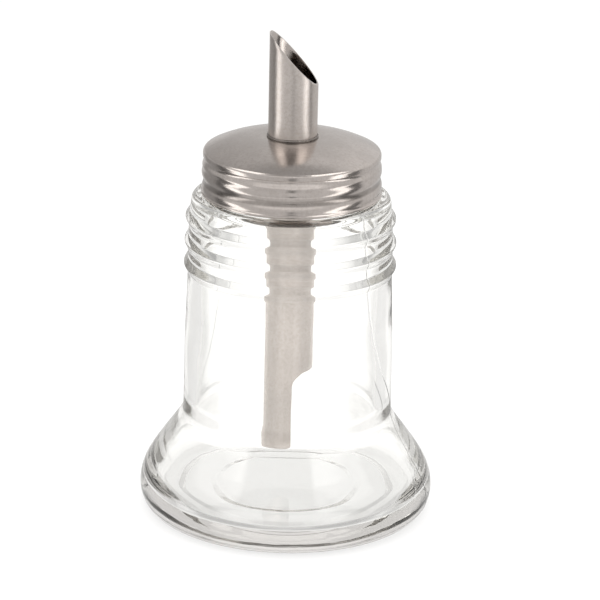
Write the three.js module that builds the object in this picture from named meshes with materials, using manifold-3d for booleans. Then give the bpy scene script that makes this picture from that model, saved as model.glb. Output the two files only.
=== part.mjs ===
// Glass sugar pourer with a screw cap and a metering tube.
// Millimetres, +Z up. Origin at the centre of the plane the jar stands on.
// +X is the side the spout is cut down towards, which is also the open side
// of the scoop at the tube's lower end.
import * as THREE from 'three';
import { mergeVertices } from 'three/addons/utils/BufferGeometryUtils.js';
import Module from 'manifold-3d';

const wasm = await Module();
wasm.setup();

const { smoothstep, degToRad, radToDeg } = THREE.MathUtils;

// ---------------------------------------------------------------- dimensions
const BODY_SEGMENTS = 48;     // facets round the jar, the cap and the seal
const TUBE_SEGMENTS = 36;     // facets round the tube and its rings

// glass jar
const FOOT_IN_R = 33.0;       // bearing ring, inner radius
const FOOT_OUT_R = 40.4;      // bearing ring, outer radius
const PANEL_Z = 0.9;          // underside panel inside the bearing ring
const PANEL_STEP = 1.0;       // radial run of the slope from ring to panel
const FLOOR_Z = 5.8;          // edge of the inside floor
const FLOOR_RISE = 0.5;       // height of the floor's centre over its edge
const MOUTH_R = 21.8;         // bore of the neck
const NECK_R = 25.3;          // neck under the thread
const NECK_Z = 97.5;          // lowest row of points on the neck
const NECK_ROW_STEP = 0.87;
const NECK_ROWS = 11;
const RIM_Z = 109.0;          // top of the glass

// screw thread, right-handed, single start
const PITCH = 4.8;
const THREAD_Z = 100.5;       // height of the crest line at +X
const RIDGE_HEIGHT = 0.7;     // ridge on the neck
const RIDGE_HALF_WIDTH = 1.45;
const RIDGE_START = -120;     // degrees along the helix
const RIDGE_END = 330;
const RIDGE_TAPER = 25;       // degrees over which each end dies away

// cap
const SHEET = 0.3;            // sheet steel thickness
const HOLE_R = 7.35;          // hole for the tube
const CAP_TOP_Z = 114.82;     // upper face at the hole
const DOME_R = 26.16;         // outer radius at the foot of the dome
const DOME_Z = 106.6;         // foot of the dome
const SKIRT_R = 26.34;        // mean outer radius of the threaded skirt
const SKIRT_TOP_Z = 105.7;    // highest row of points on the skirt
const SKIRT_ROW_STEP = 0.9;
const SKIRT_ROWS = 8;
const HEM_Z = 97.7;           // lowest point of the cap
const WAVE_HEIGHT = 0.34;     // half the depth of the rolled thread
const WAVE_BOTTOM = { none: 98.9, full: 99.9 };   // heights where the wave fades in
const WAVE_TOP = { full: 105.6, none: 106.5 };    // and out again

// metering tube
const TUBE_R = 7.2;
const TUBE_IN_R = TUBE_R - 0.5;
const TUBE_BOTTOM_Z = 19.0;
const TIP_Z = 146.0;          // where the slanted cut meets the -X side
const LIP_Z = 130.1;          // where it meets the +X side
const TIP_DROP = 0.25;        // the tip is cut flat this far below TIP_Z
const TIP_FLAT_RUN = 0.6;     // distance from the -X side back to the slant
const SCOOP_X = 1.3;          // plane the scoop is cut back to
const SCOOP_TOP_Z = 43.6;     // where the cut-away starts
const SCOOP_FILLET_R = 4.0;
const SCOOP_CORNER_R = 2.5;
const BEAD_R = 7.8;           // bead that holds the washer up
const BEAD_Z = 112.75;
const CUT_REACH = 12;         // how far the cutters extend past the tube's axis
const CUTTER_DEPTH = 40;      // cutter thickness along Y

// -------------------------------------------------------------------- helpers
const toVectors = (pairs) => pairs.map(([x, y]) => new THREE.Vector2(x, y));

const rows = (count, start, step) => Array.from({ length: count }, (_, i) => start + i * step);

// signed volume, times six
function signedVolume(position, triangles) {
  const [a, b, c] = [0, 1, 2].map(() => new THREE.Vector3());
  let total = 0;
  for (let i = 0; i < triangles.length; i += 3) {
    a.fromBufferAttribute(position, triangles[i]);
    b.fromBufferAttribute(position, triangles[i + 1]);
    c.fromBufferAttribute(position, triangles[i + 2]);
    total += a.dot(b.cross(c));
  }
  return total;
}

// positions only, with seams joined, collapsed triangles dropped and faces outward
function clean(source) {
  source.deleteAttribute('normal');
  source.deleteAttribute('uv');
  const merged = mergeVertices(source, 1e-4);
  const index = merged.index.array;
  const triangles = [];
  for (let i = 0; i < index.length; i += 3) {
    const [a, b, c] = index.slice(i, i + 3);
    if (a !== b && b !== c && c !== a) triangles.push(a, b, c);
  }
  if (signedVolume(merged.attributes.position, triangles) < 0) {
    for (let i = 0; i < triangles.length; i += 3) {
      [triangles[i + 1], triangles[i + 2]] = [triangles[i + 2], triangles[i + 1]];
    }
  }
  merged.setIndex(triangles);
  return merged;
}

// profile of [radius, height] turned about the Z axis
function turned(profile, segments) {
  const lathe = new THREE.LatheGeometry(toVectors(profile), segments);
  lathe.rotateX(Math.PI / 2);
  return clean(lathe);
}

// the same for a piece with a hole through it: the profile is closed on itself
const turnedRing = (profile, segments) => turned([...profile, profile[0]], segments);

// moves points radially: newRadius(angle, radius, z)
function reshape(geometry, newRadius) {
  const position = geometry.attributes.position;
  for (let i = 0; i < position.count; i++) {
    const x = position.getX(i);
    const y = position.getY(i);
    const radius = Math.hypot(x, y);
    if (radius < 1e-6) continue;
    const scale = newRadius(Math.atan2(y, x), radius, position.getZ(i)) / radius;
    position.setXY(i, x * scale, y * scale);
  }
  return geometry;
}

function toSolid(geometry) {
  return new wasm.Manifold(new wasm.Mesh({
    numProp: 3,
    vertProperties: new Float32Array(geometry.attributes.position.array),
    triVerts: new Uint32Array(geometry.index.array),
  }));
}

function toGeometry(solid) {
  const { vertProperties, triVerts } = solid.getMesh();
  const geometry = new THREE.BufferGeometry();
  const position = new THREE.BufferAttribute(new Float32Array(vertProperties), 3);
  geometry.setAttribute('position', position);
  geometry.setIndex(Array.from(triVerts));
  return geometry;
}

// height of the thread's crest at an angle (radians) along the helix
const crestZ = (angle) => THREAD_Z + PITCH * angle / (2 * Math.PI);

// ------------------------------------------------------------------ glass jar
// [radius, z], from the underside panel round the foot and up to the neck
const JAR_OUTSIDE = [
  [0, PANEL_Z], [FOOT_IN_R - PANEL_STEP, PANEL_Z], [FOOT_IN_R, 0], [FOOT_OUT_R, 0],
  [42.4, 1.1], [43.75, 3.5], [44.1, 6.0], [43.8, 9.0], [42.85, 12.0], [41.2, 15.2],
  [39.0, 18.4], [32.6, 27.6], [31.5, 29.9], [31.2, 33.0], [31.0, 52.0], [30.4, 71.0],
  // three raised rings
  [30.55, 74.0], [31.5, 75.5], [31.5, 76.5], [30.5, 78.2],
  [30.45, 80.9], [31.3, 82.5], [31.3, 83.5], [30.35, 85.3],
  [30.2, 88.2], [31.0, 89.9], [31.0, 90.9], [29.8, 93.0],
  // rounded shoulder under the cap
  [29.4, 94.8], [28.9, 96.2], [27.6, 97.05], [NECK_R + 0.2, 97.15],
];
// [radius, z], over the rim from outside to inside
const JAR_RIM = [[25.0, 108.0], [24.2, RIM_Z], [22.6, RIM_Z], [MOUTH_R, 108.1]];
// [radius, z], down the inside to the centre of the floor
const JAR_INSIDE = [
  [MOUTH_R, 98.4], [24.0, 93.6], [25.9, 89.0], [26.7, 36.0], [27.4, 31.2],
  [36.2, 17.8], [38.6, 13.4], [39.4, 9.6], [38.6, 7.0], [36.4, FLOOR_Z],
  [0, FLOOR_Z + FLOOR_RISE],
];

// raises the ridge on the neck and leaves the bore alone
function neckThread(angle, radius, z) {
  if (radius < (MOUTH_R + NECK_R) / 2) return radius;
  const turn = Math.round((z - crestZ(angle)) / PITCH);
  const along = angle + 2 * Math.PI * turn;
  const offset = z - crestZ(along);
  if (Math.abs(offset) >= RIDGE_HALF_WIDTH) return radius;
  const degrees = radToDeg(along);
  const taper = smoothstep(degrees, RIDGE_START, RIDGE_START + RIDGE_TAPER)
    * (1 - smoothstep(degrees, RIDGE_END - RIDGE_TAPER, RIDGE_END));
  return radius + RIDGE_HEIGHT * taper * Math.cos(Math.PI * offset / (2 * RIDGE_HALF_WIDTH)) ** 2;
}

function makeJar() {
  const neck = rows(NECK_ROWS, NECK_Z, NECK_ROW_STEP).map((z) => [NECK_R, z]);
  const profile = [...JAR_OUTSIDE, ...neck, ...JAR_RIM, ...JAR_INSIDE];
  return reshape(turned(profile, BODY_SEGMENTS), neckThread);
}

// ------------------------------------------------------------------ cap shell
// [radius, z], from the hole outwards and down
const DOME_OUTSIDE = [
  [HOLE_R, CAP_TOP_Z], [13.0, 114.52], [18.0, 113.68], [22.0, 112.4],
  [24.4, 111.15], [25.75, 109.75], [26.15, 108.4], [DOME_R, DOME_Z],
];
// [radius, z], round the bottom edge from outside to inside
const HEM = [[26.62, 98.5], [26.66, 98.0], [26.41, HEM_Z], [26.15, 98.0], [26.2, 98.6]];
// [radius, z], up the inside and back to the hole
const DOME_INSIDE = [
  [DOME_R - SHEET, DOME_Z], [26.15 - SHEET, 108.36], [25.48, 109.6], [24.2, 110.9],
  [21.9, 112.1], [17.95, 113.38], [12.98, 114.22], [HOLE_R, CAP_TOP_Z - SHEET],
];

// waves both faces of the skirt together, in step with the neck's thread
function skirtThread(angle, radius, z) {
  const fade = smoothstep(z, WAVE_BOTTOM.none, WAVE_BOTTOM.full)
    * (1 - smoothstep(z, WAVE_TOP.full, WAVE_TOP.none));
  return radius + WAVE_HEIGHT * fade * Math.cos(2 * Math.PI * (z - crestZ(angle)) / PITCH);
}

function makeCap() {
  const skirt = rows(SKIRT_ROWS, SKIRT_TOP_Z, -SKIRT_ROW_STEP);
  const profile = [
    ...DOME_OUTSIDE,
    ...skirt.map((z) => [SKIRT_R, z]),
    ...HEM,
    ...skirt.toReversed().map((z) => [SKIRT_R - SHEET, z]),
    ...DOME_INSIDE,
  ];
  return reshape(turnedRing(profile, BODY_SEGMENTS), skirtThread);
}

// -------------------------------------------------------------- metering tube
// plate of an [x, z] outline, thick enough to pass through the tube
function cutter(outline) {
  const plate = new THREE.ExtrudeGeometry(new THREE.Shape(toVectors(outline)), {
    depth: CUTTER_DEPTH,
    bevelEnabled: false,
  });
  plate.translate(0, 0, -CUTTER_DEPTH / 2);
  plate.rotateX(Math.PI / 2);
  return toSolid(clean(plate));
}

// [x, z] points of an arc, both ends included; angles in degrees from +X
function arc(centreX, centreZ, radius, from, to, steps) {
  return rows(steps + 1, from, (to - from) / steps).map((degrees) => [
    centreX + radius * Math.cos(degToRad(degrees)),
    centreZ + radius * Math.sin(degToRad(degrees)),
  ]);
}

// everything above the slanted mouth of the spout and its flattened tip
function mouthCutter() {
  const slope = (LIP_Z - TIP_Z) / (2 * TUBE_R);
  const onSlant = (x) => [x, TIP_Z + slope * (x + TUBE_R)];
  return cutter([
    [-CUT_REACH, TIP_Z - TIP_DROP],
    [-TUBE_R, TIP_Z - TIP_DROP],
    onSlant(-TUBE_R + TIP_FLAT_RUN),
    onSlant(CUT_REACH),
    [CUT_REACH, TIP_Z + 12],
    [-CUT_REACH, TIP_Z + 12],
  ]);
}

// open side of the scoop: flat top, round inside corner, round lower corner
function scoopCutter() {
  const fillet = SCOOP_FILLET_R;
  const corner = SCOOP_CORNER_R;
  const belowTube = TUBE_BOTTOM_Z - 3;
  return cutter([
    ...arc(SCOOP_X + fillet, SCOOP_TOP_Z - fillet, fillet, 90, 180, 6),
    ...arc(SCOOP_X - corner, TUBE_BOTTOM_Z + corner, corner, 0, -90, 5),
    [SCOOP_X - corner, belowTube],
    [CUT_REACH, belowTube],
    [CUT_REACH, SCOOP_TOP_Z],
  ]);
}

function makeTube() {
  const uncutTop = TIP_Z + 2;
  const tube = toSolid(turnedRing([
    [TUBE_IN_R, TUBE_BOTTOM_Z], [TUBE_R, TUBE_BOTTOM_Z],
    [TUBE_R, BEAD_Z - 0.55], [BEAD_R, BEAD_Z - 0.2],
    [BEAD_R, BEAD_Z + 0.2], [TUBE_R, BEAD_Z + 0.5],
    [TUBE_R, uncutTop], [TUBE_IN_R, uncutTop],
  ], TUBE_SEGMENTS));
  return toGeometry(tube.subtract(mouthCutter()).subtract(scoopCutter()));
}

// ---------------------------------------------------------------- small rings
// [radius, z] sections, anticlockwise from the lower inner corner
// ring round the tube where it stands on the cap
const COLLAR = [
  [7.3, 114.95], [7.6, 114.95], [7.68, 115.2], [7.62, 115.6], [7.46, 115.8], [7.3, 115.7],
];
// washer under the cap, held up by the tube's bead
const WASHER = [
  [HOLE_R, 113.35], [10.4, 113.35], [10.6, 113.55], [10.6, 113.95], [10.4, 114.1],
  [HOLE_R, 114.1],
];
// flat seal between the rim of the glass and the cap
const SEAL = [
  [22.3, 109.15], [24.5, 109.15], [24.6, 109.3], [24.6, 110.2], [24.4, 110.35], [22.3, 110.35],
];

// ------------------------------------------------------------------ materials
const GLASS = { color: 0xeef3f1, roughness: 0.05, metalness: 0 };
const CAP_STEEL = { color: 0xb9b2ad, roughness: 0.22, metalness: 1 };
const TUBE_STEEL = { color: 0xbfbab5, roughness: 0.3, metalness: 1 };
const COLLAR_METAL = { color: 0x8d8781, roughness: 0.25, metalness: 1 };
const WASHER_METAL = { color: 0xb4b0ab, roughness: 0.35, metalness: 1 };
const SEAL_WHITE = { color: 0xe8e8e4, roughness: 0.6, metalness: 0 };

// ------------------------------------------------------------------- assembly
function part(name, geometry, finish) {
  const mesh = new THREE.Mesh(geometry, new THREE.MeshStandardMaterial(finish));
  mesh.name = name;
  return mesh;
}

const jarGroup = new THREE.Group();
jarGroup.add(part('glass_jar', makeJar(), GLASS));

const capGroup = new THREE.Group();
capGroup.add(
  part('cap_shell', makeCap(), CAP_STEEL),
  part('metering_tube', makeTube(), TUBE_STEEL),
  part('tube_collar', turnedRing(COLLAR, TUBE_SEGMENTS), COLLAR_METAL),
  part('retaining_washer', turnedRing(WASHER, TUBE_SEGMENTS), WASHER_METAL),
  part('seal_ring', turnedRing(SEAL, BODY_SEGMENTS), SEAL_WHITE),
);

const pourer = new THREE.Group();
pourer.name = 'sugar_pourer';
pourer.add(jarGroup, capGroup);

export default pourer;
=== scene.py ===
# Glass sugar pourer: a flared jar, a threaded steel cap and a pouring tube down its axis.
# It stands on z = 0 round the Z axis. The tube's slanted mouth is highest towards -X and its
# lower end is cut open towards +X; the camera looks along +Y. Shapes are in millimetres and
# make_object scales them to metres; materials, lights and camera are in metres. +Z is up.
import math

import bpy
import numpy as np
from mathutils import Matrix, Vector


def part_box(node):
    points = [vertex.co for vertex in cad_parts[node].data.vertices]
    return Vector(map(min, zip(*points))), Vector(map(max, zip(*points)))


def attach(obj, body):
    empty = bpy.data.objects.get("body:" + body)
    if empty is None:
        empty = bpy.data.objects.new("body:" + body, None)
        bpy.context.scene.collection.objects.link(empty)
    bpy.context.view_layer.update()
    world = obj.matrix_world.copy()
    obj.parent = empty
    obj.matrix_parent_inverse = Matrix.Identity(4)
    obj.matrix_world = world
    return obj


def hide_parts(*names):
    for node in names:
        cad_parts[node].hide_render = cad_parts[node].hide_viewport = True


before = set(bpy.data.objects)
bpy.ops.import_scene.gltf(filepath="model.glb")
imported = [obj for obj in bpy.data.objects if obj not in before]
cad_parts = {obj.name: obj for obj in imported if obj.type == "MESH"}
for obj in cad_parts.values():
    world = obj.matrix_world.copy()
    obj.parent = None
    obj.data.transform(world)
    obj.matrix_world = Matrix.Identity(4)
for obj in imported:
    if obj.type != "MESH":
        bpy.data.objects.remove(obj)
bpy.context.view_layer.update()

MM = 0.001
# screw thread shared by the jar neck and the cap
PITCH = 4.8
THREAD_Z0 = 100.5


# ------------------------------------------------------------------ mesh helpers
def smoothstep(start, end, x):
    """0 at start, 1 at end; start may be the larger."""
    t = np.clip((np.asarray(x, float) - start) / (end - start), 0, 1)
    return t * t * (3 - 2 * t)


def full_turn(count):
    return np.linspace(0, 2 * np.pi, count, endpoint=False)


def rounded(points, step_deg=7.5, max_len=None):
    """Corners (r, z, fillet radius) as (r, z) points: fillets become arcs in steps of about
    step_deg, and runs longer than max_len are divided."""
    path = []
    for i, (x, y, fillet) in enumerate(points):
        corner = np.array([x, y], float)
        if fillet <= 0 or i in (0, len(points) - 1):
            path.append(corner)
            continue
        back = np.array(points[i - 1][:2], float) - corner
        ahead = np.array(points[i + 1][:2], float) - corner
        back_len, ahead_len = np.linalg.norm(back), np.linalg.norm(ahead)
        back, ahead = back / back_len, ahead / ahead_len
        angle = math.acos(max(-1, min(1, float(back @ ahead))))
        if angle > math.pi - 1e-3:
            path.append(corner)
            continue
        trim = min(fillet / math.tan(angle / 2), 0.49 * back_len, 0.49 * ahead_len)
        radius = trim * math.tan(angle / 2)
        middle = (back + ahead) / np.linalg.norm(back + ahead)
        center = corner + middle * (radius / math.sin(angle / 2))
        start = math.atan2(*(corner + back * trim - center)[::-1])
        end = math.atan2(*(corner + ahead * trim - center)[::-1])
        sweep = (end - start + math.pi) % (2 * math.pi) - math.pi
        steps = max(2, int(abs(math.degrees(sweep)) / step_deg) + 1)
        for j in range(steps + 1):
            t = start + sweep * j / steps
            path.append(center + radius * np.array([math.cos(t), math.sin(t)]))
    result = [path[0]]
    for point in path[1:]:
        last = result[-1]
        gap = np.linalg.norm(point - last)
        if gap < 1e-5:
            continue
        if max_len:
            cuts = int(gap / max_len)
            for j in range(1, cuts + 1):
                result.append(last + (point - last) * j / (cuts + 1))
        result.append(point)
    return [tuple(point) for point in result]


def spline(points, count):
    """Smooth curve of count points through (r, z) points."""
    knots = np.array(points, float)
    lengths = np.linalg.norm(np.diff(knots, axis=0), axis=1)
    at = np.concatenate([[0], np.cumsum(lengths ** 0.5)])
    slopes = np.zeros_like(knots)
    slopes[0] = (knots[1] - knots[0]) / (at[1] - at[0])
    slopes[-1] = (knots[-1] - knots[-2]) / (at[-1] - at[-2])
    for k in range(1, len(knots) - 1):
        before, after = at[k] - at[k - 1], at[k + 1] - at[k]
        slopes[k] = ((knots[k] - knots[k - 1]) / before * after
                     + (knots[k + 1] - knots[k]) / after * before) / (before + after)
    t = np.linspace(0, at[-1], count)
    k = np.clip(np.searchsorted(at, t, side="right") - 1, 0, len(knots) - 2)
    span = at[k + 1] - at[k]
    u = ((t - at[k]) / span)[:, None]
    span = span[:, None]
    curve = ((2 * u**3 - 3 * u**2 + 1) * knots[k] + (u**3 - 2 * u**2 + u) * span * slopes[k]
             + (-2 * u**3 + 3 * u**2) * knots[k + 1] + (u**3 - u**2) * span * slopes[k + 1])
    return [tuple(point) for point in curve]


def turn_outward(mesh):
    """Flips the faces if the mesh encloses a negative volume."""
    mesh.calc_loop_triangles()
    coords = np.zeros(len(mesh.vertices) * 3, np.float32)
    mesh.vertices.foreach_get("co", coords)
    corners = np.zeros(len(mesh.loop_triangles) * 3, np.int32)
    mesh.loop_triangles.foreach_get("vertices", corners)
    tris = coords.reshape(-1, 3).astype(float)[corners.reshape(-1, 3)]
    if np.einsum("ij,ij->i", tris[:, 0], np.cross(tris[:, 1], tris[:, 2])).sum() < 0:
        mesh.flip_normals()
    mesh.update()


def shade_smooth(mesh):
    mesh.polygons.foreach_set("use_smooth", [True] * len(mesh.polygons))


def make_object(name, verts_mm, faces):
    mesh = bpy.data.meshes.new(name)
    coords = np.ascontiguousarray(np.asarray(verts_mm, np.float32) * MM)
    sizes = np.fromiter((len(f) for f in faces), np.int32, len(faces))
    loops = np.fromiter((i for f in faces for i in f), np.int32, int(sizes.sum()))
    starts = np.concatenate([[0], np.cumsum(sizes)[:-1]]).astype(np.int32)
    mesh.vertices.add(len(coords))
    mesh.vertices.foreach_set("co", coords.ravel())
    mesh.loops.add(len(loops))
    mesh.loops.foreach_set("vertex_index", loops)
    mesh.polygons.add(len(sizes))
    mesh.polygons.foreach_set("loop_start", starts)
    mesh.update(calc_edges=True)
    mesh.validate()
    ob = bpy.data.objects.new(name, mesh)
    bpy.context.scene.collection.objects.link(ob)
    shade_smooth(mesh)
    mesh.update()
    turn_outward(mesh)
    return ob


def revolve(profile, angles, shape=None):
    """Grid [row, column, xyz] of (r, z) points turned round the axis.
    shape(angle, radius, height, row) returns the moved angle, radius and height."""
    outline = np.array(profile, float)
    rows, columns = len(outline), len(angles)
    radius = np.repeat(outline[:, :1], columns, 1)
    height = np.repeat(outline[:, 1:], columns, 1)
    angle = np.repeat(angles[None, :], rows, 0)
    row = np.repeat(np.arange(rows)[:, None], columns, 1)
    if shape:
        angle, radius, height = shape(angle, radius, height, row)
    return np.stack([radius * np.cos(angle), radius * np.sin(angle), height], -1)


def band_faces(row_pairs, columns):
    """Quads round the axis between pairs of rows, each row given by its first vertex."""
    faces = []
    for a, b in row_pairs:
        for j in range(columns):
            k = (j + 1) % columns
            faces.append([a + j, a + k, b + k, b + j])
    return faces


def lathe_ring(name, profile, angles, shape=None):
    """Ring whose closed (r, z) section never meets the axis."""
    rows, columns = len(profile), len(angles)
    verts = revolve(profile, angles, shape).reshape(-1, 3)
    pairs = [(i * columns, (i + 1) % rows * columns) for i in range(rows)]
    return make_object(name, verts, band_faces(pairs, columns))


def lathe_solid(name, profile, angles, shape):
    """Solid whose (r, z) outline starts and ends on the axis."""
    columns, rings = len(angles), len(profile) - 2
    grid = revolve(profile, angles, shape)
    verts = [(0.0, 0.0, profile[0][1]), *grid[1:-1].reshape(-1, 3), (0.0, 0.0, profile[-1][1])]
    last = len(verts) - 1
    last_ring = 1 + (rings - 1) * columns
    faces = []
    for j in range(columns):
        k = (j + 1) % columns
        faces.append([0, 1 + k, 1 + j])
        faces.append([last, last_ring + j, last_ring + k])
    pairs = [(1 + i * columns, 1 + (i + 1) * columns) for i in range(rings - 1)]
    return make_object(name, verts, faces + band_faces(pairs, columns))


def add_piece(ob, mat, rides, replaces):
    """Gives the object its material, parents it to its body's empty and hides the frame's piece
    it replaces.
    """
    ob.data.materials.append(mat)
    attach(ob, rides)
    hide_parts(replaces)


# ------------------------------------------------------------------ node helpers
class Nodes:
    """Short calls that add nodes to an emptied tree."""

    def __init__(self, tree):
        self.tree = tree
        tree.nodes.clear()

    def new(self, kind, inputs=None, **settings):
        """inputs maps a socket's name or number to a value, a socket or a node."""
        node = self.tree.nodes.new("ShaderNode" + kind)
        for key, value in settings.items():
            setattr(node, key, value)
        for key, value in (inputs or {}).items():
            socket = node.inputs[key]
            if isinstance(value, bpy.types.Node):
                value = value.outputs[0]
            if isinstance(value, bpy.types.NodeSocket):
                self.tree.links.new(value, socket)
            else:
                socket.default_value = value
        return node

    def coords(self, kind="Object"):
        return self.new("TexCoord").outputs[kind]

    def math(self, op, a, b=0.0, c=None, clamp=False):
        inputs = {0: a, 1: b}
        if c is not None:
            inputs[2] = c
        return self.new("Math", inputs, operation=op, use_clamp=clamp).outputs[0]

    def add(self, a, b, clamp=False):
        return self.math("ADD", a, b, clamp=clamp)

    def sub(self, a, b):
        return self.math("SUBTRACT", a, b)

    def mul(self, a, b):
        return self.math("MULTIPLY", a, b)

    def spread(self, x, center, width):
        """Swings a 0 to 1 value over width round center."""
        return self.math("MULTIPLY_ADD", x, width, center - width / 2)

    def degrees(self, radians):
        return self.mul(radians, 180 / math.pi)

    def xyz(self, vec):
        return self.new("SeparateXYZ", {"Vector": vec}).outputs

    def axis_distance(self, xyz):
        squares = [self.math("POWER", xyz[i], 2.0) for i in (0, 1)]
        return self.math("SQRT", self.add(*squares))

    def step(self, x, start, end, low=0.0, high=1.0):
        """Smooth change from low at start to high at end."""
        inputs = {0: x, 1: start, 2: end, 3: low, 4: high}
        return self.new("MapRange", inputs, interpolation_type="SMOOTHSTEP").outputs[0]

    def band(self, x, start, end, soft):
        """1 between start and end, falling to 0 over soft on both sides."""
        rise = self.step(x, start - soft, start + soft)
        drop = self.step(x, end - soft, end + soft, 1.0, 0.0)
        return self.mul(rise, drop)

    def mix(self, factor, off, on):
        """Number: off where factor is 0, on where it is 1."""
        return self.new("Mix", {0: factor, 2: off, 3: on}, data_type="FLOAT").outputs[0]

    def mix_color(self, factor, off, on):
        inputs = {0: factor, 6: off, 7: on}
        return self.new("Mix", inputs, data_type="RGBA", blend_type="MIX").outputs[2]

    def mix_shader(self, factor, off, on):
        return self.new("MixShader", {0: factor, 1: off, 2: on})

    def noise(self, vec, scale=1.0, detail=3.0, rough=0.5, distort=0.0):
        return self.new("TexNoise", {"Vector": vec, "Scale": scale, "Detail": detail,
                                     "Roughness": rough, "Distortion": distort}).outputs[0]

    def scaled(self, vec, scale):
        return self.new("Mapping", {"Vector": vec, "Scale": scale}).outputs[0]

    def bump(self, height, strength, distance):
        return self.new("Bump", {"Strength": strength, "Distance": distance, "Height": height})

    def emission(self, color, strength):
        return self.new("Emission", {"Color": (*color, 1), "Strength": strength})


def from_lens(net, x, y):
    """Level direction (x, y) as (to the right, away) seen from the camera, so the studio
    follows the lens."""
    lens = net.new("VectorTransform", {0: (0, 0, 1)}, vector_type="VECTOR",
                   convert_from="CAMERA", convert_to="WORLD")
    lens_x, lens_y, _ = net.xyz(lens)
    squares = net.add(net.mul(lens_x, lens_x), net.mul(lens_y, lens_y))
    size = net.math("MAXIMUM", net.math("SQRT", squares), 0.001)
    lens_x = net.math("DIVIDE", lens_x, size)
    lens_y = net.math("DIVIDE", lens_y, size)
    right = net.sub(net.mul(x, lens_y), net.mul(y, lens_x))
    away = net.add(net.mul(x, lens_x), net.mul(y, lens_y))
    return right, away


def side_shade(net, path, swing):
    """How grey the sides are when seen through glass, by the angle swing from straight behind,
    and a mask of rays that leave the jar again after a mirror inside it."""
    bounced = net.math("GREATER_THAN", path["Glossy Depth"], 0.5)
    metal = net.mul(bounced, net.math("GREATER_THAN", path["Transmission Depth"], 3.5))
    sides = net.band(swing, start=58, end=128, soft=8)
    amount = net.mix(metal, off=net.mix(bounced, off=1.0, on=0.7), on=0.3)
    return net.mul(sides, amount), metal


def material(name):
    mat = bpy.data.materials.new(name)
    mat.use_nodes = True
    return mat, Nodes(mat.node_tree)


# ------------------------------------------------------------------ materials of the pieces
def tinted(color, gains):
    return (*[c * gain for c, gain in zip(color, gains)], 1)


def steel(name, color, rough, grain_mm, grain, scuff, dark, bump,
          soft=None, bore_r=None, groove=None):
    """Stainless steel with fine grain, scuffs, smears and soft colour change.

    grain_mm is the grain size along each axis, grain its swing in roughness, dark the depth
    of the clouds. soft is the (roughness, share) of a second gloss. Within bore_r (m) the wall
    is the bore, with a sharper gloss and its colour darkened as painted shade. Painted shade
    darkens the skirt's groove, fading out between the two groove radii (m)."""
    mat, net = material(name)
    coords = net.coords()
    grain_scale = tuple(1.0 / (size * MM) for size in grain_mm)
    fine = net.noise(net.scaled(coords, grain_scale), detail=2.0, rough=0.6)
    speck = net.noise(coords, scale=2600.0, detail=2.0, rough=0.6)
    cloud = net.noise(coords, scale=90.0, detail=4.0, rough=0.55)
    smear = net.noise(net.scaled(coords, (260, 260, 60)), detail=5.0, rough=0.65, distort=1.2)
    mottle = net.noise(coords, scale=1100.0, rough=0.7)
    # scratches follow cell edges, in patches
    cells = net.new("TexVoronoi", {"Vector": net.scaled(coords, (420, 300, 900))},
                    feature="DISTANCE_TO_EDGE").outputs[0]
    scratch = net.step(cells, start=0.0, end=0.035, low=1.0, high=0.0)
    patches = net.noise(coords, scale=140.0, detail=2.0)
    scratch = net.mul(scratch, net.step(patches, start=0.52, end=0.7))
    # colour: (mask, share of the mask, gain of red, green and blue)
    base = net.mix_color(net.step(cloud, start=0.35, end=0.7),
                         off=tinted(color, (1 - dark,) * 3), on=(*color, 1))
    for mask, start, end, share, gains in (
            (smear, 0.55, 0.75, 0.35, (1.04, 1.0, 0.95)),
            (speck, 0.5, 0.72, 0.16 + grain, (0.72, 0.7, 0.67)),
            (mottle, 0.42, 0.66, 0.7, (0.8, 0.79, 0.77))):
        amount = net.mul(net.step(mask, start, end), share)
        base = net.mix_color(amount, off=base, on=tinted(color, gains))
    # roughness: smears and scratches are duller
    gloss = net.spread(fine, center=rough, width=grain)
    gloss = net.add(gloss, net.mul(net.step(smear, start=0.45, end=0.8), 0.05))
    gloss = net.add(gloss, net.mul(scratch, 0.18 * scuff))
    relief = net.add(fine, net.mul(scratch, -0.6 * scuff))
    normal = net.bump(relief, strength=bump, distance=0.0004)
    # the bore: a sharper gloss, and its colour darkened as painted shade that dims the reflection
    # inside the tube
    if bore_r:
        distance = net.axis_distance(net.xyz(coords))
        bore = net.step(distance, start=bore_r, end=bore_r + 0.0001, low=1.0, high=0.0)
        gloss = net.mix(bore, off=gloss, on=0.1)
        base = net.mix_color(bore, off=base, on=tinted(color, (0.8, 0.79, 0.78)))
    # painted shade in the skirt's thread groove: colour darkened and gloss dulled near the groove
    # floor
    if groove:
        place = net.xyz(coords)
        distance = net.axis_distance(place)
        in_skirt = net.mul(net.step(place[2], start=0.0985, end=0.0995),
                           net.step(place[2], start=0.1035, end=0.1052, low=1.0, high=0.0))
        groove_shade = net.mul(net.step(distance, *groove, low=1.0, high=0.0), in_skirt)
        uneven = net.step(net.noise(coords, scale=220.0), start=0.25, end=0.6, low=0.65)
        groove_shade = net.mul(groove_shade, uneven)
        base = net.mix_color(net.mul(groove_shade, 0.5), off=base, on=(0.16, 0.14, 0.125, 1))
        gloss = net.add(gloss, net.mul(groove_shade, 0.12))

    def metal(roughness):
        return net.new("BsdfPrincipled", {"Metallic": 1.0, "Roughness": roughness,
                                          "Normal": normal, "Base Color": base})

    shader = metal(gloss)
    if soft:
        soft_rough, soft_share = soft
        second = metal(net.spread(fine, center=soft_rough, width=grain))
        share = net.mul(soft_share, 1.0)
        if bore_r:
            share = net.mul(share, net.sub(1.0, bore))
        shader = net.mix_shader(share, off=shader, on=second)
    net.new("OutputMaterial", {"Surface": shader})
    return mat


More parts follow.
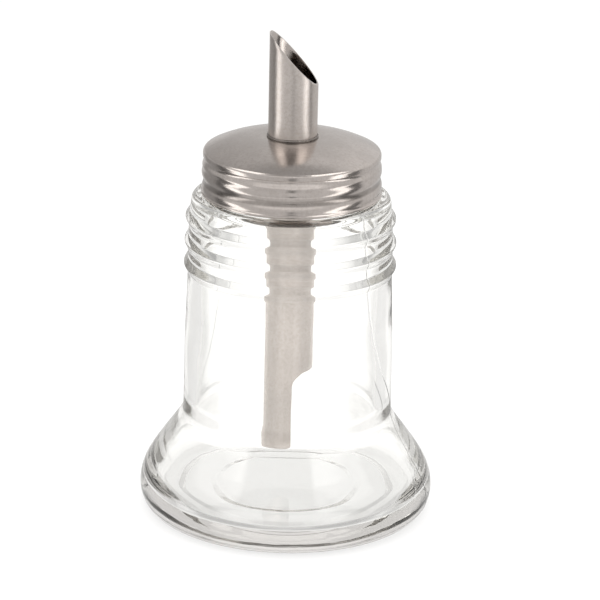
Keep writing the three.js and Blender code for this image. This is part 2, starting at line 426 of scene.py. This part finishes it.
def clear_glass():
    """Pressed clear glass with faint waves, and a little greyer where it is thick."""
    mat, net = material("clear_glass")
    coords = net.coords()
    ream = net.noise(net.scaled(coords, (55, 55, 26)), detail=2.0, rough=0.4, distort=0.6)
    swirl = net.noise(net.scaled(coords, (160, 160, 70)), detail=2.0, distort=0.8)
    normal = net.bump(net.add(ream, net.mul(swirl, 0.12)), strength=0.1, distance=0.0008)
    tint = net.mix_color(net.noise(coords, scale=30.0, detail=1.0),
                         off=(0.995, 0.995, 0.992, 1), on=(0.988, 0.989, 0.984, 1))
    glass = net.new("BsdfGlass", {"Roughness": 0.0, "IOR": 1.5, "Normal": normal, "Color": tint})
    # shadow rays pass straight through, dimmed at grazing angles, so no caustics are needed
    facing = net.new("LayerWeight", {"Blend": 0.35}).outputs["Facing"]
    shadow = net.mix_color(net.math("POWER", facing, 2.0),
                           off=(0.975, 0.98, 0.978, 1), on=(0.72, 0.73, 0.725, 1))
    through = net.new("BsdfTransparent", {"Color": shadow})
    path = net.new("LightPath").outputs
    net.new("OutputMaterial", {
        "Surface": net.mix_shader(path["Is Shadow Ray"], off=glass, on=through),
        "Volume": net.new("VolumeAbsorption", {"Color": (0.08, 0.02, 0.0, 1), "Density": 5.5}),
    })
    return mat


def seal_plastic():
    """Off-white plastic with a slight inner glow."""
    mat, net = material("seal_plastic")
    coords = net.coords()
    blotch = net.noise(coords, scale=300.0, detail=4.0, rough=0.6)
    base = net.mix_color(blotch, off=(0.72, 0.71, 0.66, 1), on=(0.86, 0.86, 0.82, 1))
    normal = net.bump(net.noise(coords, scale=2500.0), strength=0.15, distance=0.0002)
    plastic = net.new("BsdfPrincipled", {
        "Roughness": net.spread(blotch, center=0.52, width=0.2),
        "Normal": normal,
        "Base Color": base,
        "Subsurface Weight": 0.15,
        "Subsurface Radius": (0.002, 0.002, 0.002),
    })
    net.new("OutputMaterial", {"Surface": plastic})
    return mat


# ------------------------------------------------------------------ glass jar
# mould seam: height, degrees clockwise from +X seen from above
SEAM = np.array([
    (0, 15.5), (6, 16.0), (13, 17.0), (20, 15.5), (25, 12.5), (30, 8.0), (34, 10.0), (38, 15.0),
    (47, 27.5), (58, 36.0), (66, 39.5), (76, 42.0), (84, 43.0), (92, 44.0), (109, 45.0)], float)
# outlines: r, z, fillet radius (the foot curve has no fillets)
UNDERSIDE = [(0, 0.9, 0), (19.4, 0.9, 4.0), (21.4, 0.62, 3.0), (23.4, 0.9, 4.0),
             (31.2, 0.9, 1.2), (33.2, 0.0, 1.0), (40.4, 0.0, 0)]
FOOT = [(40.4, 0.0), (41.55, 0.35), (42.65, 1.35), (43.65, 3.3), (44.1, 6.0), (43.85, 9.0),
        (42.9, 12.0), (41.3, 15.0), (39.25, 18.1), (37.1, 21.1), (34.9, 24.1), (33.0, 26.8)]
NECK_R = 25.3
BODY = [(33.0, 26.8, 0), (31.25, 30.0, 5.0), (31.1, 52.0, 30.0), (30.35, 73.9, 1.0),
        (31.62, 76.1, 0.85), (30.35, 78.3, 0.9), (30.35, 80.9, 0.9),   # lower ring
        (31.45, 83.1, 0.85), (30.2, 85.2, 0.9), (30.05, 88.2, 0.9),    # middle ring
        (31.2, 90.4, 0.85), (29.75, 92.6, 1.1),                        # upper ring
        (29.3, 97.15, 2.4), (25.75, 97.15, 0.5), (NECK_R, 97.6, 0.3), (NECK_R, 98.0, 0)]
RIM = [(NECK_R, 106.95, 0), (NECK_R, 108.2, 0.9), (24.5, 109.0, 0.8), (22.6, 109.0, 0.8),
       (21.8, 108.0, 0.6), (21.8, 107.0, 0)]
INSIDE = [(21.8, 106.0, 0), (21.8, 94.4, 1.0), (26.2, 95.0, 0.35), (26.35, 60.0, 40.0),
          (26.7, 33.5, 5.0), (36.3, 18.2, 14.0), (39.6, 11.6, 7.0), (39.4, 6.0, 3.4),
          (30.0, 5.8, 6.0), (9.0, 6.4, 9.0), (0, 6.4, 0)]
RIM_OUTSIDE = 4          # rim points that count as outside
RIDGE_HEIGHT, RIDGE_WIDTH = 0.7, 2.9
SEAM_HEIGHT, SEAM_SPREAD = 0.06, 0.2
# surface waves: height, lobes round the axis, radians per mm of z, phase
INSIDE_WAVES = [(0.06, 2, 0.03, 0.7), (0.06, 3, -0.05, 1.9), (0.05, 5, 0.11, 0.0)]
OUTSIDE_WAVES = [(0.025, 4, 0.07, 0.0), (0.02, 7, -0.09, 1.0)]
# columns added across each seam: distance from it, at radius SEAM_R
SEAM_OFFSETS = (-0.55, -0.34, -0.22, -0.13, -0.06, 0.0, 0.06, 0.13, 0.22, 0.34, 0.55)
SEAM_R = 31.0


def seam_angle(z):
    return -np.radians(np.interp(z, SEAM[:, 0], SEAM[:, 1]))


SEAM_REF = seam_angle(60.0)   # the seam's angle in the columns before they lean


def waves(table, angle, z):
    return sum(height * np.sin(lobes * angle + twist * z + phase)
               for height, lobes, twist, phase in table)


def jar_columns():
    """Even angles, replaced by finer ones across the two seams."""
    fine = [(seam + offset / SEAM_R) % (2 * np.pi)
            for seam in (SEAM_REF, SEAM_REF + np.pi) for offset in SEAM_OFFSETS]
    even = full_turn(300)
    crowded = np.array([any(abs((a - b + np.pi) % (2 * np.pi) - np.pi) < 0.006 for b in fine)
                        for a in even])
    return np.sort(np.concatenate([even[~crowded], fine]))


def build_jar():
    outer = (rounded(UNDERSIDE, max_len=1.6)[:-1] + spline(FOOT, 70)
             + rounded(BODY, max_len=0.8)[1:])
    neck = [(NECK_R, z) for z in np.arange(98.1, 106.85, 0.13)]
    profile = outer + neck + rounded(RIM, max_len=0.7) + rounded(INSIDE, max_len=1.1)
    outside_rows = len(outer) + len(neck) + RIM_OUTSIDE

    def shape(angle, radius, z, row):
        # columns lean with the seams, so the seams keep their fine columns at every height
        lean = seam_angle(z) - SEAM_REF
        leant = angle + lean * (np.cos(2 * (angle - SEAM_REF)) * 0.5 + 0.5)
        outside = row < outside_rows
        # helical ridge on the neck
        turns = np.round((z - THREAD_Z0 - PITCH * leant / (2 * np.pi)) / PITCH)
        along = np.degrees(leant + 2 * np.pi * turns)
        offset = z - THREAD_Z0 - PITCH * along / 360
        ends = smoothstep(-120, -85, along) * (1 - smoothstep(295, 330, along))
        on_neck = outside & (z > 97.5) & (z < 106.9) & (radius > 24.9)
        ridge = np.where((np.abs(offset) < RIDGE_WIDTH / 2) & on_neck,
                         RIDGE_HEIGHT * ends * np.cos(np.pi * offset / RIDGE_WIDTH) ** 2, 0)
        # mould seams
        from_seam = (angle - SEAM_REF + np.pi / 2) % np.pi - np.pi / 2
        seam = np.where(outside & (z > 0.6) & (z < 97.0),
                        SEAM_HEIGHT * np.exp(-((from_seam * radius / SEAM_SPREAD) ** 2)), 0)
        # pressed glass is uneven, most of all inside
        bulge = np.where(outside, 0.0, 1.0) * smoothstep(94, 86, z) * smoothstep(7, 14, z) * (
            waves(INSIDE_WAVES, leant, z) + 0.05 * np.sin(z * 0.33 + 1.2 * np.sin(leant)))
        skin = (np.where(outside, 1.0, 0.0) * smoothstep(97, 93, z) * smoothstep(2, 8, z)
                * waves(OUTSIDE_WAVES, leant, z))
        return leant, radius + ridge + seam + bulge + skin, z

    return lathe_solid("jar_glass", profile, jar_columns(), shape)


add_piece(build_jar(), clear_glass(), rides="jar", replaces="glass_jar")

# ------------------------------------------------------------------ cap: dome, thread, hem
SHEET = 0.3              # sheet thickness of the skirt
CREASE_Z = 108.2         # crease between dome and skirt
SKIRT_R = 25.72          # outside of the skirt before the thread pushes it out
SKIRT_BOTTOM, SKIRT_STEP = 98.62, 0.11
# outside of the dome: r, z
CROWN = [(7.35, 114.85), (10.0, 114.77), (13.0, 114.52), (16.0, 114.08), (19.0, 113.42),
         (21.6, 112.6), (23.4, 111.88), (24.2, 111.52)]
# r, z, fillet radius
DOME_EDGE = [(26.14, 110.62, 1.9), (26.14, 108.85, 0.25), (25.8, 108.6, 0.15),
             (SKIRT_R, CREASE_Z, 0)]
HEM = [(26.5, 98.6, 0), (26.62, 98.3, 0.2), (26.6, 97.7, 0.3), (26.12, 97.7, 0.22),
       (26.12, 98.4, 0.2), (26.2, 98.6, 0)]
# inside of the dome: r, z
DOME_INSIDE = [(7.35, 114.55), (12.96, 114.24), (15.94, 113.85), (18.9, 113.2),
               (21.47, 112.42), (23.3, 111.7), (24.3, 111.25), (25.1, 110.75),
               (25.6, 110.1), (25.72, 109.4), (25.66, 108.7), (25.5, 108.2)]
BEAD = 0.5               # how far thread crests stand out
SWELL = 0.26             # how far the whole skirt widens below the crease


def build_cap():
    dome = rounded([(r, z, 0) for r, z in spline(CROWN, 60)] + DOME_EDGE,
                   step_deg=5, max_len=0.5)
    skirt_z = np.arange(CREASE_Z - 0.1, SKIRT_BOTTOM, -SKIRT_STEP)
    hem = rounded(HEM, step_deg=12)
    profile = (dome + [(SKIRT_R, z) for z in skirt_z] + hem
               + [(SKIRT_R - SHEET, z) for z in skirt_z[::-1]] + DOME_INSIDE[::-1])
    outer_start = len(dome)
    inner_start = len(dome) + len(skirt_z) + len(hem)

    def shape(angle, radius, z, row):
        """Rolled thread: broad beads, narrower grooves, running out below the dome."""
        crest = (THREAD_Z0 + 0.68 + PITCH * angle / (2 * np.pi)
                 - 0.45 * np.cos(angle) + 0.35 * np.sin(angle))
        phase = ((z - crest) / PITCH + 0.5) % 1.0 - 0.5   # 0 on a crest
        bead = 0.5 + 0.5 * np.cos(2 * np.pi * phase)
        bead = 1 - (1 - bead) ** 1.05
        top = smoothstep(CREASE_Z + 0.1, CREASE_Z - 1.9, z)
        run_out = smoothstep(106.4, 104.4, z)
        low = smoothstep(98.3, 99.6, z)
        push = top * (SWELL * smoothstep(107.8, 103.8, z)
                      + BEAD * (bead * run_out + 1 - run_out) * low + BEAD * (1 - low))
        on_skirt = np.zeros(row.shape, bool)
        for start in (outer_start, inner_start):
            on_skirt |= (row >= start) & (row < start + len(skirt_z))
        return angle, radius + np.where(on_skirt, push, 0.0), z

    return lathe_ring("cap_steel", profile, full_turn(288), shape)


add_piece(
    build_cap(),
    steel("polished_steel", color=(0.685, 0.629, 0.594), rough=0.08, soft=(0.3, 0.32),
          grain_mm=(0.3, 0.3, 0.3), grain=0.1, scuff=0.5, dark=0.12, bump=0.05,
          groove=(0.02603, 0.02622)),
    rides="cap", replaces="cap_shell")

# ------------------------------------------------------------------ metering tube
TUBE_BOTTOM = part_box("metering_tube")[0].z / MM + 1.5   # a touch shorter than the frame's solid
TUBE_R = 7.2
TUBE_IN = 6.7
MOUTH = (138.4, -1.094, 0.05)   # the slanted mouth lies on z = a + b x + c y
TIP_DROP, TIP_SPREAD = 0.42, 0.5   # blunting of the tip at -X
# the scoop: plane x the wall is cut back to, its top, and the fillets at its top and bottom
SCOOP_X, SCOOP_TOP, SCOOP_FILLET, SCOOP_CORNER = 1.3, 43.6, 4.0, 2.5
SWAGE_Z, SWAGE_WIDTH, SWAGE_HEIGHT = 112.75, 1.3, 0.58   # bead round the tube under the dome
WALL_COLUMNS = 110       # round the wall beside the scoop
GAP_COLUMNS = 34         # above the scoop's opening
EDGE_BEVEL = 0.11


def scoop_plane(z):
    """x the open side is cut back to, at height z."""
    z = np.asarray(z, float)
    top = np.clip((z - (SCOOP_TOP - SCOOP_FILLET)) / SCOOP_FILLET, 0, 1)
    low = np.clip((TUBE_BOTTOM + SCOOP_CORNER - z) / SCOOP_CORNER, 0, 1)
    return (SCOOP_X + SCOOP_FILLET * (1 - np.sqrt(1 - top * top))
            - SCOOP_CORNER * (1 - np.sqrt(1 - low * low)))


def scoop_levels():
    quarter = np.pi / 2
    fillet_start = SCOOP_TOP - SCOOP_FILLET
    fillet = fillet_start + SCOOP_FILLET * np.sin(np.linspace(0, quarter, 15))
    corner = TUBE_BOTTOM + SCOOP_CORNER * (1 - np.cos(np.linspace(0, quarter, 12)))
    straight = np.arange(TUBE_BOTTOM + SCOOP_CORNER, fillet_start, 1.0)
    return np.unique(np.concatenate([corner, straight, fillet]).round(5))


def tube_wall(verts, radius):
    """Adds one skin of the tube; returns its open rows beside the scoop and closed rows above."""
    def add_row(angles, heights, bulge=0.0):
        first = len(verts)
        verts.extend(((radius + bulge) * math.cos(t), (radius + bulge) * math.sin(t), z)
                     for t, z in zip(angles, heights))
        return list(range(first, len(verts)))

    def open_angles(z):
        edge = math.acos(max(-1, min(1, float(scoop_plane(z)) / radius)))
        return edge, edge + (2 * math.pi - 2 * edge) * np.linspace(0, 1, WALL_COLUMNS + 1)

    low_rows = []
    for z in scoop_levels():
        angles = open_angles(z)[1]
        low_rows.append(add_row(angles, [z] * len(angles)))
    edge, angles = open_angles(SCOOP_TOP)
    gap = (2 * math.pi - edge) + 2 * edge * np.linspace(0, 1, GAP_COLUMNS + 1)[1:-1]
    up_rows = [low_rows[-1] + add_row(gap, [SCOOP_TOP] * len(gap))]
    angles = np.concatenate([angles, gap])
    levels = [*np.arange(SCOOP_TOP + 1.5, 111.6, 2.2), *np.arange(111.9, 113.6, 0.1),
              *np.arange(114.0, 128.6, 1.4)]
    for z in levels:
        bulge = 0.0
        if abs(z - SWAGE_Z) < SWAGE_WIDTH / 2:
            bulge = SWAGE_HEIGHT * math.cos(math.pi * (z - SWAGE_Z) / SWAGE_WIDTH) ** 2
        up_rows.append(add_row(angles, [z] * len(angles), bulge))
    mouth = []
    for t in angles:
        x, y = radius * math.cos(t), radius * math.sin(t)
        blunt = TIP_DROP * math.exp(-((x + TUBE_R) / TIP_SPREAD) ** 2)
        mouth.append(MOUTH[0] + MOUTH[1] * x + MOUTH[2] * y - blunt)
    for part in (0.35, 0.7, 0.9, 1.0):
        up_rows.append(add_row(angles, [levels[-1] + (z - levels[-1]) * part for z in mouth]))
    return low_rows, up_rows


def sheet_faces(rows, columns, flipped):
    faces = []
    for a, b in zip(rows[:-1], rows[1:]):
        for j in range(columns):
            k = (j + 1) % len(a)
            quad = [a[j], a[k], b[k], b[j]]
            faces.append(quad[::-1] if flipped else quad)
    return faces


def build_tube():
    verts = []
    low_out, up_out = tube_wall(verts, TUBE_R)
    low_in, up_in = tube_wall(verts, TUBE_IN)
    last, around = WALL_COLUMNS, len(up_out[0])
    faces = []
    for low, up, flipped in ((low_out, up_out, False), (low_in, up_in, True)):
        faces += sheet_faces(low, last, flipped) + sheet_faces(up, around, flipped)
    # slanted mouth
    for j in range(around):
        k = (j + 1) % around
        faces.append([up_out[-1][j], up_out[-1][k], up_in[-1][k], up_in[-1][j]])
    # bottom edge of the scoop
    for j in range(last):
        faces.append([low_out[0][j + 1], low_out[0][j], low_in[0][j], low_in[0][j + 1]])
    # both long edges of the scoop
    for a, b, c, d in zip(low_out[:-1], low_out[1:], low_in[:-1], low_in[1:]):
        faces.append([a[0], b[0], d[0], c[0]])
        faces.append([b[last], a[last], c[last], d[last]])
    # flat top of the scoop
    lip_out = up_out[0][last:] + up_out[0][:1]
    lip_in = up_in[0][last:] + up_in[0][:1]
    for j in range(len(lip_out) - 1):
        faces.append([lip_out[j + 1], lip_out[j], lip_in[j], lip_in[j + 1]])
    ob = make_object("tube_steel", verts, faces)
    bevel = ob.modifiers.new("edge", "BEVEL")
    bevel.width = EDGE_BEVEL * MM
    bevel.segments = 2
    bevel.limit_method = "ANGLE"
    bevel.angle_limit = math.radians(55)
    bevel.harden_normals = False
    # bake the bevel into the mesh
    depsgraph = bpy.context.evaluated_depsgraph_get()
    mesh = bpy.data.meshes.new_from_object(ob.evaluated_get(depsgraph))
    ob.modifiers.clear()
    ob.data = mesh
    shade_smooth(mesh)
    return ob


add_piece(
    build_tube(),
    steel("satin_steel", color=(0.72, 0.662, 0.625), rough=0.19, soft=(0.42, 0.5),
          grain_mm=(0.3, 0.3, 0.16), grain=0.16, scuff=0.35, dark=0.1, bump=0.1,
          bore_r=0.00694),
    rides="cap", replaces="metering_tube")

# ------------------------------------------------------------------ small rings
# closed sections: r, z, fillet radius
COLLAR = [(7.25, 114.93, 0), (7.55, 114.93, 0.1), (7.6, 115.15, 0.15), (7.5, 115.45, 0.15),
          (7.32, 115.55, 0.1), (7.25, 115.45, 0)]
WASHER = [(7.36, 113.45, 0), (9.6, 113.4, 1.0), (10.4, 113.42, 0.2), (10.55, 113.7, 0.2),
          (10.4, 114.0, 0.2), (9.6, 114.04, 1.0), (7.36, 114.04, 0)]
SEAL = [(22.3, 109.25, 0), (22.45, 109.12, 0.1), (24.45, 109.12, 0.15), (24.58, 109.4, 0.15),
        (24.55, 110.2, 0.2), (24.3, 110.33, 0.15), (23.6, 110.2, 0.2), (23.2, 110.2, 0.2),
        (22.6, 110.33, 0.2), (22.3, 110.2, 0)]
RING_ANGLES = full_turn(160)


def washer_wave(angle, radius, z, row):
    """Three shallow waves that grow towards the washer's edge."""
    return angle, radius, z + 0.05 * np.cos(3 * angle) * (radius - 7.4) / 3.2


# collar: the same stainless steel with its colour darkened as painted shade, so it reads dark
# beside the tube
add_piece(
    lathe_ring("collar_ring", rounded(COLLAR, step_deg=15), RING_ANGLES),
    steel("ring_steel", color=(0.32, 0.29, 0.27), rough=0.25, grain_mm=(0.2, 0.2, 0.2),
          grain=0.08, scuff=0.3, dark=0.15, bump=0.04),
    rides="cap", replaces="tube_collar")
add_piece(
    lathe_ring("washer_ring", rounded(WASHER, step_deg=20, max_len=0.4), RING_ANGLES,
               washer_wave),
    steel("washer_steel", color=(0.6, 0.58, 0.56), rough=0.3, grain_mm=(0.3, 0.3, 0.3),
          grain=0.1, scuff=0.6, dark=0.15, bump=0.05),
    rides="washer", replaces="retaining_washer")
add_piece(
    lathe_ring("seal_flat", rounded(SEAL, step_deg=20, max_len=0.4), full_turn(200)),
    seal_plastic(), rides="seal", replaces="seal_ring")

# ------------------------------------------------------------------ floor
FLOOR_HALF, FLOOR_Z = 8, -0.0002
PAPER_GLOW = (1.0, 0.995, 0.985)
STUDIO_WHITE = (1.0, 0.993, 0.985)
WHITE_LEVEL = 1.03       # plain white as the camera sees it


def floor_white():
    """White paper that looks different to the camera, to mirrors and through glass."""
    mat, net = material("floor_white")
    coords = net.coords()
    paper = net.mix_color(net.noise(coords, scale=4.0),
                          off=(0.9, 0.9, 0.9, 1), on=(0.93, 0.93, 0.93, 1))
    diffuse = net.new("BsdfDiffuse", {"Color": paper})
    clear = net.new("BsdfTransparent")
    path = net.new("LightPath").outputs
    # mirrored in metal: plain paper close to the foot, the studio below further out
    distance = net.axis_distance(net.xyz(coords))
    mirrored = net.mix_shader(net.step(distance, start=0.074, end=0.096, low=1.0, high=0.0),
                              off=clear, on=net.emission(PAPER_GLOW, strength=0.92))
    surface = net.mix_shader(path["Is Glossy Ray"], off=diffuse, on=mirrored)
    # seen through the glass: bright paper, with a painted shadow making it a little greyer right
    # under the jar
    seen = net.step(distance, start=0.030, end=0.052, low=0.92, high=1.3)
    # steep views of it come out grey; fall and turn are the view's angles down and sideways
    view = net.xyz(net.new("NewGeometry").outputs["Incoming"])
    fall = net.degrees(net.math("ARCSINE", view[2]))
    sideways = from_lens(net, net.mul(view[0], -1.0), net.mul(view[1], -1.0))
    turn = net.degrees(net.math("ABSOLUTE", net.math("ARCTAN2", *sideways)))
    grey = net.mul(net.band(fall, start=30.5, end=46, soft=1.5),
                   net.step(turn, start=2.0, end=20.0, low=0.05))
    grey = net.mul(grey, net.step(distance, start=0.092, end=0.115, low=0.2))
    grey = net.math("MAXIMUM", grey, net.mul(net.step(fall, start=50, end=56), 0.4))
    shade, metal = side_shade(net, path, turn)
    grey = net.math("MAXIMUM", grey, shade)
    off_axis = net.mul(net.step(turn, start=16, end=28), net.sub(1.0, metal))
    seen = net.mix(off_axis, off=seen, on=net.mul(seen, 0.74))
    seen = net.mix(grey, off=seen, on=0.46)
    through_glass = net.emission(PAPER_GLOW, strength=seen)
    # to the camera the paper fades to plain white away from the jar
    white = net.emission(STUDIO_WHITE, strength=WHITE_LEVEL)
    fade = net.mul(net.step(distance, start=0.16, end=0.5, low=0.62), path["Is Camera Ray"])
    surface = net.mix_shader(fade, off=surface, on=white)
    surface = net.mix_shader(path["Is Transmission Ray"], off=surface, on=through_glass)
    net.new("OutputMaterial", {"Surface": surface})
    return mat


def build_floor():
    mesh = bpy.data.meshes.new("floor")
    signs = ((-1, -1), (1, -1), (1, 1), (-1, 1))
    corners = [(x * FLOOR_HALF, y * FLOOR_HALF, FLOOR_Z) for x, y in signs]
    mesh.from_pydata(corners, [], [(0, 1, 2, 3)])
    floor = bpy.data.objects.new("floor", mesh)
    bpy.context.scene.collection.objects.link(floor)
    mesh.materials.append(floor_white())


build_floor()


# ------------------------------------------------------------------ studio
def mirrored_room(net, x, y, azimuth, elevation):
    """Brightness that metal mirrors, and the mask of the two upper softboxes.
    Azimuth is 0 towards the camera and positive to its right."""
    def az_band(start, end, soft):
        return net.band(azimuth, start, end, soft)

    def el_band(start, end, soft):
        return net.band(elevation, start, end, soft)

    right_side = net.step(x, start=-0.5, end=0.5)
    room = net.mix(net.step(elevation, start=-30, end=0), off=0.64, on=0.68)
    # behind the object: a soft grey sweep, lighter to the right, darker overhead
    behind = net.step(y, start=-0.15, end=0.25)
    sweep = net.mix(right_side, off=0.46, on=0.8)
    room = net.mix(net.mul(behind, net.step(elevation, start=4, end=14)), off=room, on=sweep)
    room = net.mix(net.step(elevation, start=50, end=64), off=room, on=0.4)
    # in front: two tall softboxes, with a gap that is darker in a mirror image of a mirror image
    high = el_band(start=29, end=60, soft=3)
    again = net.math("GREATER_THAN", net.new("LightPath").outputs["Glossy Depth"], 1.5)
    room = net.mix(net.mul(az_band(start=-44, end=30, soft=4), high),
                   off=room, on=net.mix(again, off=0.46, on=0.06))
    boxes = net.add(az_band(start=-94, end=-44, soft=3), az_band(start=30, end=84, soft=3))
    upper = net.mul(boxes, high)
    # dark flanks below the horizon
    for start, end, soft, level in ((-150, -84, 6, 0.36), (-110, -87, 4, 0.12),
                                    (76, 98, 4, 0.14)):
        flank = net.mul(az_band(start, end, soft), el_band(start=-52, end=4, soft=5))
        room = net.mix(flank, off=room, on=level)
    # the softboxes' slanting glow on the table
    skew = net.mul(net.add(elevation, 15.0), 0.45)
    glow = net.add(net.band(net.add(azimuth, skew), start=-84, end=-63, soft=2),
                   net.band(net.sub(azimuth, skew), start=53, end=74, soft=2))
    glow = net.mul(glow, el_band(start=-36, end=3, soft=4))
    room = net.mix(net.add(upper, glow, clamp=True), off=room, on=2.0)
    # lighter bands above and below the horizon
    for start, end, soft, level in ((15, 28, 2, 1.0), (-44, -31, 3, 0.82)):
        strip = net.mul(az_band(start=-48, end=40, soft=6), el_band(start, end, soft))
        room = net.mix(strip, off=room, on=level)
    # small dark spot straight in front
    spot = net.mul(az_band(start=-4, end=6, soft=1.2), el_band(start=-27, end=-9, soft=2))
    return net.mix(net.mul(spot, 0.8), off=room, on=0.1), upper


def through_glass_view(net, path, x, y, elevation, upper):
    """Brightness the glass bends into view: white, but grey at the sides, high up and straight
    below, with the softboxes brightest."""
    swing = net.degrees(net.math("ABSOLUTE", net.math("ARCTAN2", x, y)))   # 0 straight behind
    above = net.step(swing, start=6, end=24, low=1.15, high=0.95)
    clear = net.mix(net.step(elevation, start=-2, end=5), off=1.3, on=above)
    clear = net.mix(side_shade(net, path, swing)[0], off=clear, on=0.42)
    clear = net.mix(net.step(elevation, start=30, end=58), off=clear, on=0.42)
    clear = net.mix(net.step(elevation, start=-50, end=-75), off=clear, on=0.7)
    return net.mix(upper, off=clear, on=2.6)


def build_world():
    world = bpy.data.worlds.new("studio")
    bpy.context.scene.world = world
    world.use_nodes = True
    net = Nodes(world.node_tree)
    x, y, z = net.xyz(net.coords("Generated"))
    x, y = from_lens(net, x, y)
    azimuth = net.degrees(net.math("ARCTAN2", x, net.mul(y, -1.0)))
    elevation = net.degrees(net.math("ARCSINE", z))
    room, upper = mirrored_room(net, x, y, azimuth, elevation)
    path = net.new("LightPath").outputs
    clear = through_glass_view(net, path, x, y, elevation, upper)
    level = 1.0
    for ray, seen in (("Glossy", room), ("Transmission", clear), ("Camera", WHITE_LEVEL),
                      ("Diffuse", 0.85)):
        level = net.mix(path[f"Is {ray} Ray"], off=level, on=seen)
    color = net.new("CombineColor", {0: level, 1: net.mul(level, STUDIO_WHITE[1]),
                                     2: net.mul(level, STUDIO_WHITE[2])})
    net.new("OutputWorld", {"Surface": net.new("Background", {"Color": color})})


build_world()

# name, place, aim, side of the square, watts
LIGHTS = [
    ("key_left", (-1.1, -0.7, 0.95), (0, 0, 0.05), 0.8, 9),
    ("fill_right", (1.1, -0.8, 0.9), (0, 0, 0.05), 0.8, 6),
    ("top", (0.0, 0.3, 1.6), (0, 0, 0), 1.4, 16),
]
for name, place, aim, side, power in LIGHTS:
    light = bpy.data.lights.new(name, "AREA")
    light.shape = "RECTANGLE"
    light.size = side
    light.size_y = side
    light.energy = power
    ob = bpy.data.objects.new(name, light)
    bpy.context.scene.collection.objects.link(ob)
    ob.location = place
    ob.rotation_mode = "QUATERNION"
    ob.rotation_quaternion = (Vector(aim) - Vector(place)).to_track_quat("-Z", "Y")
    # it lights surfaces but is never seen itself
    ob.visible_camera = ob.visible_glossy = ob.visible_transmission = False

# ------------------------------------------------------------------ camera
LENS_MM, SENSOR_MM = 174.0, 36.0
CAMERA_DISTANCE = 0.8638
TARGET = Vector((0.003202, 0, 0.0640896))
LOOK_DOWN = math.radians(19.433)
ROLL = math.radians(1.2618)


def build_camera():
    forward = Vector((0, math.cos(LOOK_DOWN), -math.sin(LOOK_DOWN)))
    right = Vector((1, 0, 0))
    up = right.cross(forward)
    rolled_right = right * math.cos(ROLL) + up * math.sin(ROLL)
    rolled_up = up * math.cos(ROLL) - right * math.sin(ROLL)
    data = bpy.data.cameras.new("camera")
    camera = bpy.data.objects.new("camera", data)
    bpy.context.scene.collection.objects.link(camera)
    data.sensor_width = SENSOR_MM
    data.lens = LENS_MM
    data.clip_start = 0.05
    data.clip_end = 40
    turn = Matrix((rolled_right, rolled_up, -forward)).transposed().to_4x4()
    camera.matrix_world = Matrix.Translation(TARGET - forward * CAMERA_DISTANCE) @ turn
    bpy.context.scene.camera = camera


build_camera()

# ------------------------------------------------------------------ render settings
scene = bpy.context.scene
scene.view_settings.view_transform = "Standard"
scene.view_settings.look = "None"
cycles = scene.cycles
cycles.use_denoising = True
cycles.max_bounces = 32
cycles.transmission_bounces = 32
cycles.glossy_bounces = 28
cycles.transparent_max_bounces = 32
cycles.caustics_reflective = False
cycles.caustics_refractive = False
cycles.sample_clamp_indirect = 6.0
